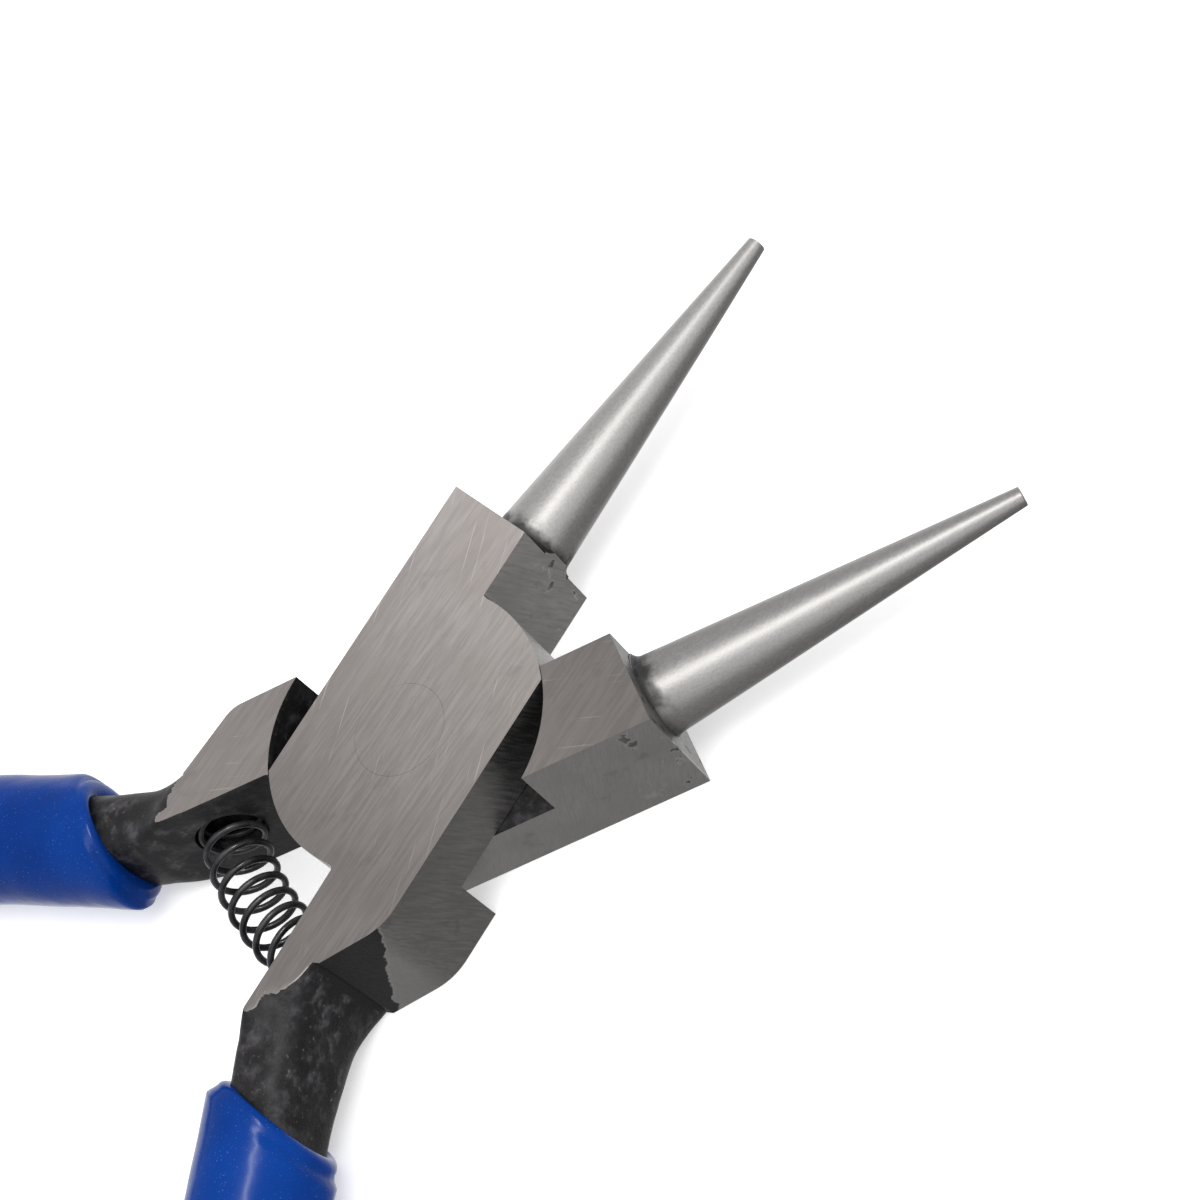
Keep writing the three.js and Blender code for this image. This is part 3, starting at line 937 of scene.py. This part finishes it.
def ground_side(body):
    """Sides ground across: the streaks run over the thickness, a little slanted, and the steel is darker. Past
    the plate the jaw's end carries painted light: lighter on the front half and darker on the back. Painted
    shade, with some dirt, darkens the corner between the jaw's face and the plate. Soot stays in pits by the
    cone and on the slanted wall behind the shoulder, where the wheel reached only the lower corner."""
    material, tree, shader = new_material(body + "_ground_side")
    place, own = own_place(tree, "grain"), own_place(tree)
    streak = use_group(tree, STREAKS, {"Place": place, "Turn": (0, 0.35, 0), "Squeeze": (7, 7, 0.5)})
    cloud = use_group(tree, CLOUDS, {"Place": place, "Size": 5.5})
    colour = blend_colours(tree, streak.outputs["Streak"], (0.35, 0.34, 0.33), (0.44, 0.43, 0.42))
    colour = blend_colours(tree, calc(tree, "MULTIPLY", streak.outputs["Fine"], 0.5), colour, (0.5, 0.49, 0.48))
    colour = blend_colours(tree, calc(tree, "MULTIPLY", cloud.outputs["Cloud"], 0.5), colour,
                           (0.33, 0.325, 0.315))
    colour = blend_colours(tree, calc(tree, "MULTIPLY", cloud.outputs["Smudge"], 0.2), colour,
                           (0.1, 0.095, 0.09))
    split = put(tree, "SeparateXYZ", {"Vector": own})
    x, y, z = (split.outputs[axis] for axis in "XYZ")
    # Painted light: past the plate, away from the outer side, the jaw's end is scaled lighter on the front half
    # and darker on the back half.
    painted_light = stretch(tree, x, 10.4, 10.9, 1.0, JAW_END_PAINTED_LIGHT[body])
    inner = stretch(tree, y, JAW_SIDE - 0.4, JAW_SIDE - 0.1, 1.0, 0.0)
    painted_light = put(tree, "Mix", {0: inner, 2: 1.0, 3: painted_light}, data_type="FLOAT").outputs[0]
    radius = calc(tree, "SQRT", calc(tree, "ADD", calc(tree, "MULTIPLY", x, x), calc(tree, "MULTIPLY", y, y)))
    # Painted shade, with some dirt: a dark band in the concave corner where the jaw's face meets the plate's
    # arc.
    corner = calc(tree, "MULTIPLY", stretch(tree, radius, PLATE_RADIUS + 0.12, PLATE_RADIUS + 0.42, 0.85, 0.0),
                  stretch(tree, x, 10.3, 10.6))
    pits = put(tree, "TexNoise", {"Vector": place, "Scale": 0.75, "Detail": 3.0})
    pit = calc(tree, "MULTIPLY", stretch(tree, pits.outputs[0], 0.60, 0.66),
               stretch(tree, x, 12.0, 15.0, 0.0, 0.9))
    down = calc(tree, "MULTIPLY_ADD", z, -0.09, 0.45)
    along = calc(tree, "MULTIPLY_ADD", x, 1 / WALL_LENGTH, -WALL_START / WALL_LENGTH)
    waver = calc(tree, "MULTIPLY", calc(tree, "SUBTRACT", pits.outputs[0], 0.5), 0.3)
    level = calc(tree, "ADD", calc(tree, "ADD", down, along), waver)
    unreached = stretch(tree, level, 0.93, 0.99, 1.0, 0.0)
    # The painted corner shade joins the soot in the pits and on the wall behind the shoulder, all black and not
    # metal.
    soot_and_painted_shade = calc(tree, "MAXIMUM", calc(tree, "MAXIMUM", corner, pit), unreached)
    colour = blend_colours(tree, soot_and_painted_shade, scaled(tree, colour, painted_light), (0.014, 0.013, 0.014))
    tree.links.new(colour, shader.inputs["Base Color"])
    tree.links.new(calc(tree, "SUBTRACT", 1.0, soot_and_painted_shade), shader.inputs["Metallic"])
    shader.inputs["Specular IOR Level"].default_value = 0.2
    tree.links.new(stretch(tree, streak.outputs["Streak"], 0, 1, 0.38, 0.5), shader.inputs["Roughness"])
    height = calc(tree, "ADD", streak.outputs["Streak"], streak.outputs["Fine"])
    bump(tree, shader, height, 2.5e-6)
    return material


def broken_edge():
    """The thin bevel along each edge, rubbed bright in places."""
    material, tree, shader = new_material("broken_edge", Metallic=1.0, Roughness=0.34)
    cloud = use_group(tree, CLOUDS, {"Place": own_place(tree, "grain"), "Size": 2.2})
    colour = blend_colours(tree, cloud.outputs["Cloud"], (0.34, 0.325, 0.315), (0.66, 0.64, 0.62))
    tree.links.new(colour, shader.inputs["Base Color"])
    return material


# %% [markdown]
# ## Black forging skin
# The shank, the notches and the handle's inner face keep the scale from the forge: nearly black, dull, mottled
# with paler rubbed patches and a few rust specks near the grip. Where the bar was high enough to be ground,
# the ground finish takes over, and the border between the two is slightly ragged.

# %% Forging skin
def forging_skin(body):
    """Black scale, and the ground finish above a height that wavers."""
    material, tree, shader = new_material(body + "_forging_skin")
    place, own = own_place(tree, "grain"), own_place(tree)
    cloud = use_group(tree, CLOUDS, {"Place": place, "Size": 4.5})
    lumps = put(tree, "TexNoise", {"Vector": place, "Scale": 0.8, "Detail": 6.0, "Roughness": 0.62})
    lump_shade = stretch(tree, lumps.outputs[0], 0.4, 0.7)
    colour = blend_colours(tree, lump_shade, (0.010, 0.0098, 0.0105), (0.033, 0.031, 0.033))
    worn = calc(tree, "MULTIPLY", cloud.outputs["Cloud"], stretch(tree, lumps.outputs[0], 0.5, 0.72))
    colour = blend_colours(tree, calc(tree, "MULTIPLY", worn, 0.42), colour, (0.12, 0.112, 0.12))
    scuff = put(tree, "TexNoise", {"Vector": place, "Scale": 3.2, "Detail": 3.0})
    chips = calc(tree, "MULTIPLY", stretch(tree, scuff.outputs[0], 0.66, 0.74), cloud.outputs["Cloud"])
    colour = blend_colours(tree, calc(tree, "MULTIPLY", chips, 0.28), colour, (0.32, 0.30, 0.30))
    split = put(tree, "SeparateXYZ", {"Vector": own})
    near_grip = stretch(tree, split.outputs["X"], -21.0, -25.0)
    rust = calc(tree, "MULTIPLY", cloud.outputs["Speck"], near_grip)
    colour = blend_colours(tree, calc(tree, "MULTIPLY", rust, 0.7), colour, (0.16, 0.07, 0.045))
    height = calc(tree, "ABSOLUTE", split.outputs["Z"])
    waver = calc(tree, "MULTIPLY", calc(tree, "SUBTRACT", scuff.outputs[0], 0.5), 0.03)
    ground = stretch(tree, calc(tree, "ADD", height, waver), HALF_THICKNESS - 0.035, HALF_THICKNESS - 0.02)
    finish = use_ground_finish(tree, body)
    tree.links.new(blend_colours(tree, ground, colour, finish.outputs["Colour"]), shader.inputs["Base Color"])
    tree.links.new(ground, shader.inputs["Metallic"])
    shader.inputs["Specular IOR Level"].default_value = 0.3
    dull = stretch(tree, lumps.outputs[0], 0.3, 0.7, 0.36, 0.55)
    rough = put(tree, "Mix", {0: ground, 2: dull, 3: finish.outputs["Roughness"]}, data_type="FLOAT")
    tree.links.new(rough.outputs[0], shader.inputs["Roughness"])
    bare = calc(tree, "SUBTRACT", 1.0, ground)
    relief = calc(tree, "ADD", lumps.outputs[0], calc(tree, "MULTIPLY", scuff.outputs[0], 0.4))
    raised = calc(tree, "MULTIPLY", relief, bare)
    bump(tree, shader, raised, 6e-5, 0.7)
    return material


# %% [markdown]
# ## Satin jaw
# The cone is polished to a satin by hand, so it carries short fine scratches at every angle to its length and a
# dark, sooty ring where the wheel could not reach its root. Each half's cone is also painted lighter or darker,
# as light falls on it.

# %% Satin cone
# Painted light: the front cone is made lighter and the back cone darker, as light falls on each.
CONE_PAINTED_LIGHT = {"front_half": 1.12, "back_half": 0.86}


def satin_jaw(body):
    """Bright satin steel with crossed fine scratches, and soot by the root, scaled by each half's painted
    light.
    """
    material, tree, shader = new_material(body + "_satin_jaw", Metallic=1.0)
    place = own_place(tree, "grain")
    own = own_place(tree)
    one = use_group(tree, STREAKS, {"Place": place, "Turn": (0, 0.4, 0.5), "Squeeze": (1.6, 7, 7)})
    two = use_group(tree, STREAKS, {"Place": place, "Turn": (0.5, -0.5, -0.7), "Squeeze": (1.6, 8, 8)})
    cloud = use_group(tree, CLOUDS, {"Place": place, "Size": 2.0})
    mixed = calc(tree, "MULTIPLY", calc(tree, "ADD", one.outputs["Streak"], two.outputs["Streak"]), 0.5)
    colour = blend_colours(tree, mixed, (0.47, 0.455, 0.44), (0.61, 0.595, 0.58))
    hairs = use_group(tree, SCRATCHES, {"Place": place, "Turn": (0.3, 0.5, 1.1), "Width": 0.7})
    colour = blend_colours(tree, calc(tree, "MULTIPLY", hairs.outputs["Scratch"], 0.5), colour,
                           (0.25, 0.24, 0.23))
    # Painted light: the cone's colour is scaled by its half's factor.
    colour = scaled(tree, colour, CONE_PAINTED_LIGHT[body])
    split = put(tree, "SeparateXYZ", {"Vector": own})
    waver = calc(tree, "MULTIPLY", calc(tree, "SUBTRACT", cloud.outputs["Cloud"], 0.5), 0.9)
    from_root = calc(tree, "ADD", split.outputs["X"], waver)
    soot = stretch(tree, from_root, CONE_START + 0.35, CONE_START + 1.5, 0.85, 0.0)
    colour = blend_colours(tree, soot, colour, (0.03, 0.03, 0.03))
    tree.links.new(colour, shader.inputs["Base Color"])
    tree.links.new(stretch(tree, mixed, 0, 1, 0.36, 0.46), shader.inputs["Roughness"])
    fine = calc(tree, "ADD", one.outputs["Fine"], two.outputs["Fine"])
    bump(tree, shader, calc(tree, "ADD", mixed, calc(tree, "MULTIPLY", fine, 0.5)), 3e-6)
    return material


# %% Finishes on the halves and the rivet
for body, piece in halves.items():
    numbers = np.empty(len(piece.data.polygons), np.int32)
    piece.data.polygons.foreach_get("material_index", numbers)
    piece.data.materials.clear()
    face = ground_face(body)
    for material in (face, ground_side(body), forging_skin(body), satin_jaw(body), broken_edge()):
        piece.data.materials.append(material)
    piece.data.polygons.foreach_set("material_index", numbers)
    if body == "front_half":
        rivet.data.materials.append(face)

# %% [markdown]
# ## Black spring and blue grip
# The spring is oiled black wire, glossy and nearly even. The grip is glossy dipped plastic: a deep blue whose
# gloss is clear but slightly uneven, with a little pale dust caught on it.

# %% Spring and grip finishes
def black_wire():
    """Glossy black oxide with a faint drawn grain."""
    material, tree, shader = new_material("black_wire", Metallic=0.0)
    place = own_place(tree)
    cloud = use_group(tree, CLOUDS, {"Place": place, "Size": 1.4})
    colour = blend_colours(tree, cloud.outputs["Cloud"], (0.008, 0.008, 0.009), (0.03, 0.03, 0.032))
    tree.links.new(colour, shader.inputs["Base Color"])
    tree.links.new(stretch(tree, cloud.outputs["Cloud"], 0, 1, 0.2, 0.32), shader.inputs["Roughness"])
    return material


def dipped_plastic():
    """Deep glossy blue with slow waves in its gloss, and dust specks."""
    material, tree, shader = new_material("dipped_plastic", Metallic=0.0, Specular_IOR_Level=0.12)
    place = own_place(tree)
    cloud = use_group(tree, CLOUDS, {"Place": place, "Size": 7.0})
    dust = use_group(tree, CLOUDS, {"Place": place, "Size": 2.4})
    colour = blend_colours(tree, cloud.outputs["Cloud"], (0.0006, 0.024, 0.16), (0.0006, 0.034, 0.215))
    speck = calc(tree, "MULTIPLY", dust.outputs["Speck"], 0.12)
    colour = blend_colours(tree, speck, colour, (0.5, 0.55, 0.7))
    tree.links.new(colour, shader.inputs["Base Color"])
    rough = stretch(tree, cloud.outputs["Cloud"], 0, 1, 0.17, 0.23)
    tree.links.new(calc(tree, "ADD", rough, calc(tree, "MULTIPLY", speck, 1.0)), shader.inputs["Roughness"])
    waves = put(tree, "TexNoise", {"Vector": place, "Scale": 0.35, "Detail": 2.0})
    bump(tree, shader, waves.outputs[0], 2e-4, 0.5)
    return material


spring.data.materials.append(black_wire())
plastic = dipped_plastic()
for grip_piece in (front_grip, back_grip):
    grip_piece.data.materials.append(plastic)

# %% [markdown]
# ## Floor and light
# The tool lies on a pale floor that glows faintly, so it stays white, in a bright room with three soft lights:
# a large one above the jaws, a wide wash that isn't seen in reflections, and a narrow strip that lights only
# the grips and the spring. The floor isn't seen in reflections either, so the undersides of the round jaws
# stay dark and read as round.

# %% Floor and light
floor_mesh = bpy.data.meshes.new("floor")
reach = 3.0
floor_corners = [(-reach, -reach, 0), (reach, -reach, 0), (reach, reach, 0), (-reach, reach, 0)]
floor_mesh.from_pydata(floor_corners, [], [(0, 1, 2, 3)])
floor = bpy.data.objects.new("floor", floor_mesh)
floor.location.z = -0.0001
bpy.context.scene.collection.objects.link(floor)
floor_finish, floor_tree, floor_shader = new_material("pale_floor", Roughness=0.9)
floor_shader.inputs["Base Color"].default_value = (0.85, 0.85, 0.85, 1)
floor_shader.inputs["Emission Color"].default_value = (1, 1, 1, 1)
floor_shader.inputs["Emission Strength"].default_value = 0.45
floor.data.materials.append(floor_finish)
floor.visible_glossy = False


def studio_sky():
    """The room as seen in reflections: pale all round above, brighter over the near side, dark below the near
    horizon, and pale again where the floor runs away behind the tool."""
    world = bpy.data.worlds.new("studio")
    bpy.context.scene.world = world
    world.use_nodes = True
    tree = world.node_tree
    direction = put(tree, "TexCoord").outputs["Generated"]
    split = put(tree, "SeparateXYZ", {"Vector": direction})
    towards = put(tree, "VectorMath", {0: direction, 1: (-0.05, -0.62, 0.78)}, operation="DOT_PRODUCT")
    lobe = stretch(tree, towards.outputs["Value"], 0.55, 1.0, 0.0, 0.35)
    above = calc(tree, "ADD", lobe, 0.55)
    behind = stretch(tree, split.outputs["Y"], -0.25, 0.6, 0.2, 1.0)
    leftwards = stretch(tree, split.outputs["X"], -0.1, -0.6, 0.0, 0.22)
    below = calc(tree, "ADD", behind, leftwards)
    level = stretch(tree, split.outputs["Z"], -0.1, 0.15)
    value = put(tree, "Mix", {0: level, 2: below, 3: above}, data_type="FLOAT").outputs[0]
    tint = put(tree, "CombineXYZ", {0: value, 1: value, 2: calc(tree, "MULTIPLY", value, 1.01)})
    tree.links.new(tint.outputs[0], tree.nodes["Background"].inputs["Color"])


def soft_light(name, place, long_way, length, depth, power, in_reflections=True):
    """A rectangular soft light that faces the joint, its long side nearest to a given direction. Sizes are in
    metres and the power in watts."""
    data = bpy.data.lights.new(name, "AREA")
    data.shape = "RECTANGLE"
    data.size, data.size_y, data.energy = length, depth, power
    light = bpy.data.objects.new(name, data)
    back = Vector(place).normalized()
    up = back.cross(Vector(long_way)).normalized()
    turn = Matrix((up.cross(back), up, back)).transposed()
    light.matrix_world = Matrix.Translation(place) @ turn.to_4x4()
    light.visible_glossy = in_reflections
    bpy.context.scene.collection.objects.link(light)
    return light


studio_sky()
soft_light("overhead_softbox", (0.06, -0.20, 1.05), (1, 0, 0), 0.85, 0.34, 3.4)
strip = soft_light("grip_strip", (0.36, -0.06, 1.0), (0.7, 0.7, 0), 0.34, 0.08, 3.6)
strip.light_linking.receiver_collection = bpy.data.collections.new("lit_by_the_strip")
for glossy_piece in (front_grip, back_grip, spring):
    strip.light_linking.receiver_collection.objects.link(glossy_piece)
soft_light("overhead_wash", (0, 0, 1.1), (1, 0, 0), 1.3, 1.3, 6.0, in_reflections=False)

bpy.context.scene.view_settings.view_transform = "Standard"
